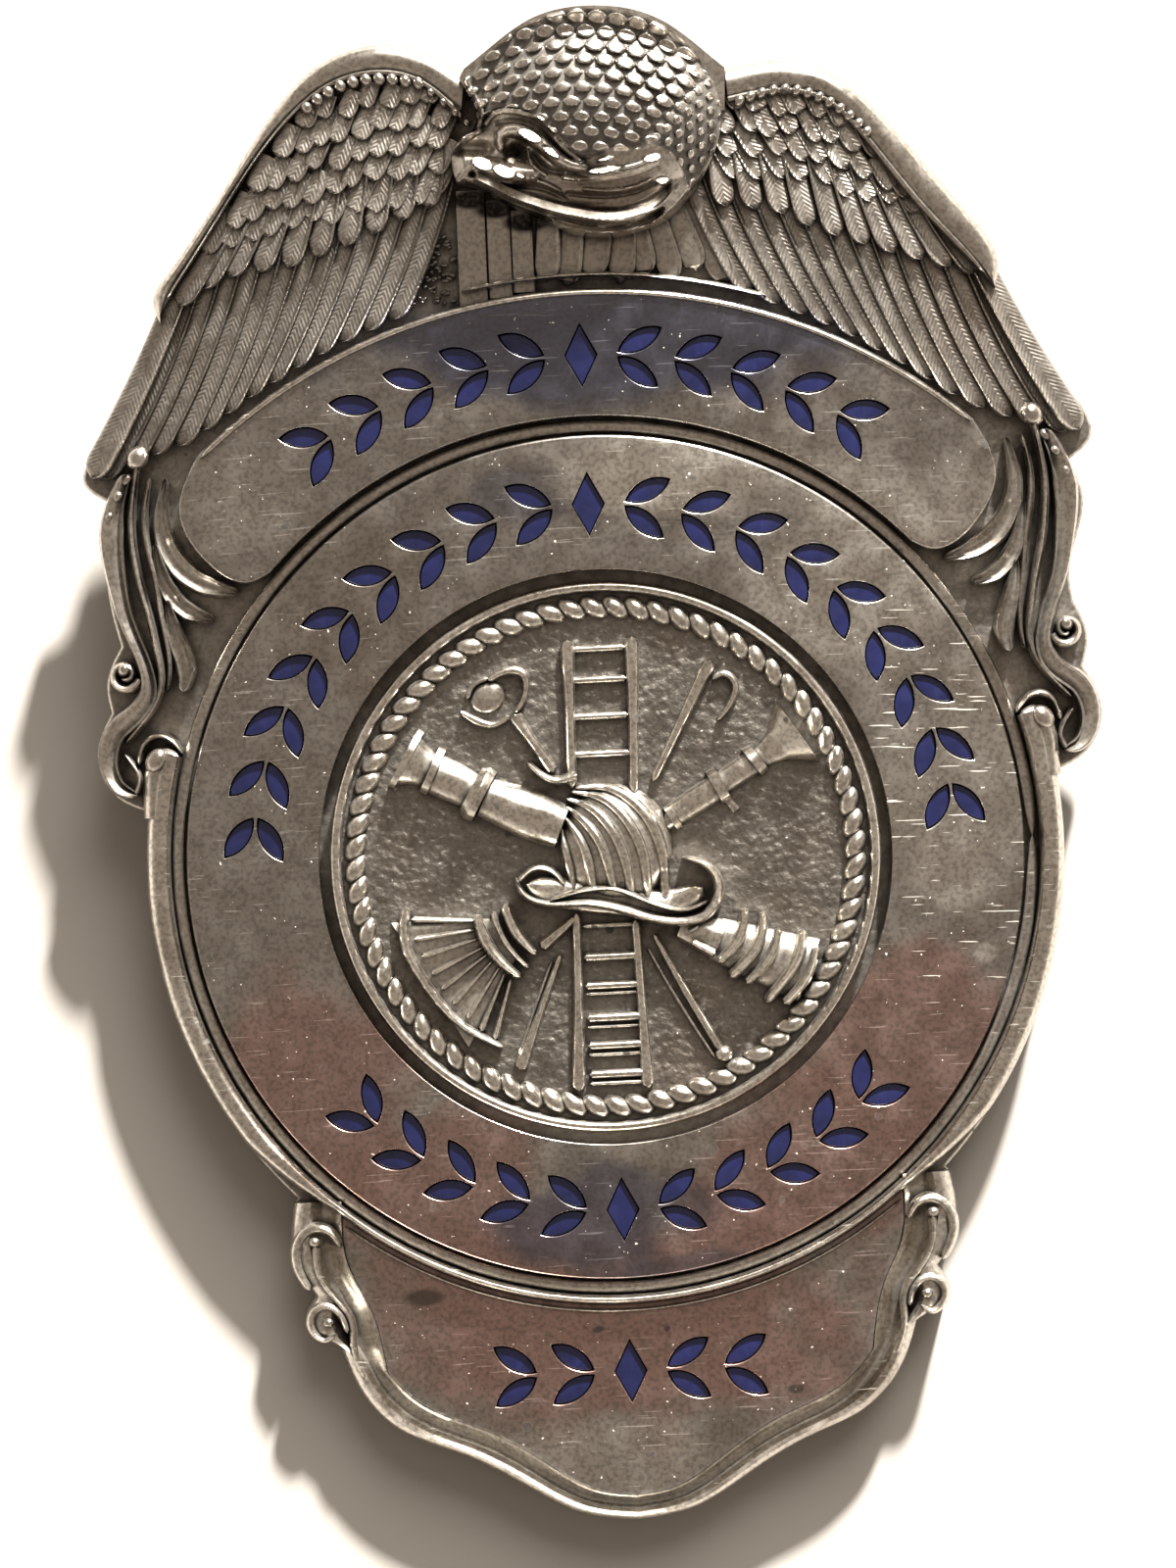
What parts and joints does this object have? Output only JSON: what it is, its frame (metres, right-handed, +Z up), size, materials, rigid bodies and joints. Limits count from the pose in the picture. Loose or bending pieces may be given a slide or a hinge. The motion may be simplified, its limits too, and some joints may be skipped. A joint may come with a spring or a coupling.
{
  "type": "firefighter badge",
  "caption": "Arched metal breast badge with an eagle, title banner, round emblem seal in a ring panel, blue enamel inlays and a pin clasp behind.",
  "frame": {"origin": "on the surface that the badge lies on, below the middle of its box", "axes": "+Z up from the surface, +Y from the base panel towards the eagle, +X towards the right wing as seen from the front"},
  "size_m": [0.0462, 0.0678, 0.0144],
  "materials": {
    "struck_metal": "polished high spots, dark patina in the recesses",
    "seal_metal": "oxidised field, bright worn relief",
    "clasp_metal": "plain satin",
    "blue_enamel": "gloss"
  },
  "bodies": {
    "root": {"struck_plate": "struck_metal", "centre_seal": "seal_metal", "pin_clasp": "clasp_metal", "title_enamel": "blue_enamel", "ring_enamel_upper": "blue_enamel", "ring_enamel_lower": "blue_enamel", "base_enamel": "blue_enamel"}
  },
  "joints": []
}
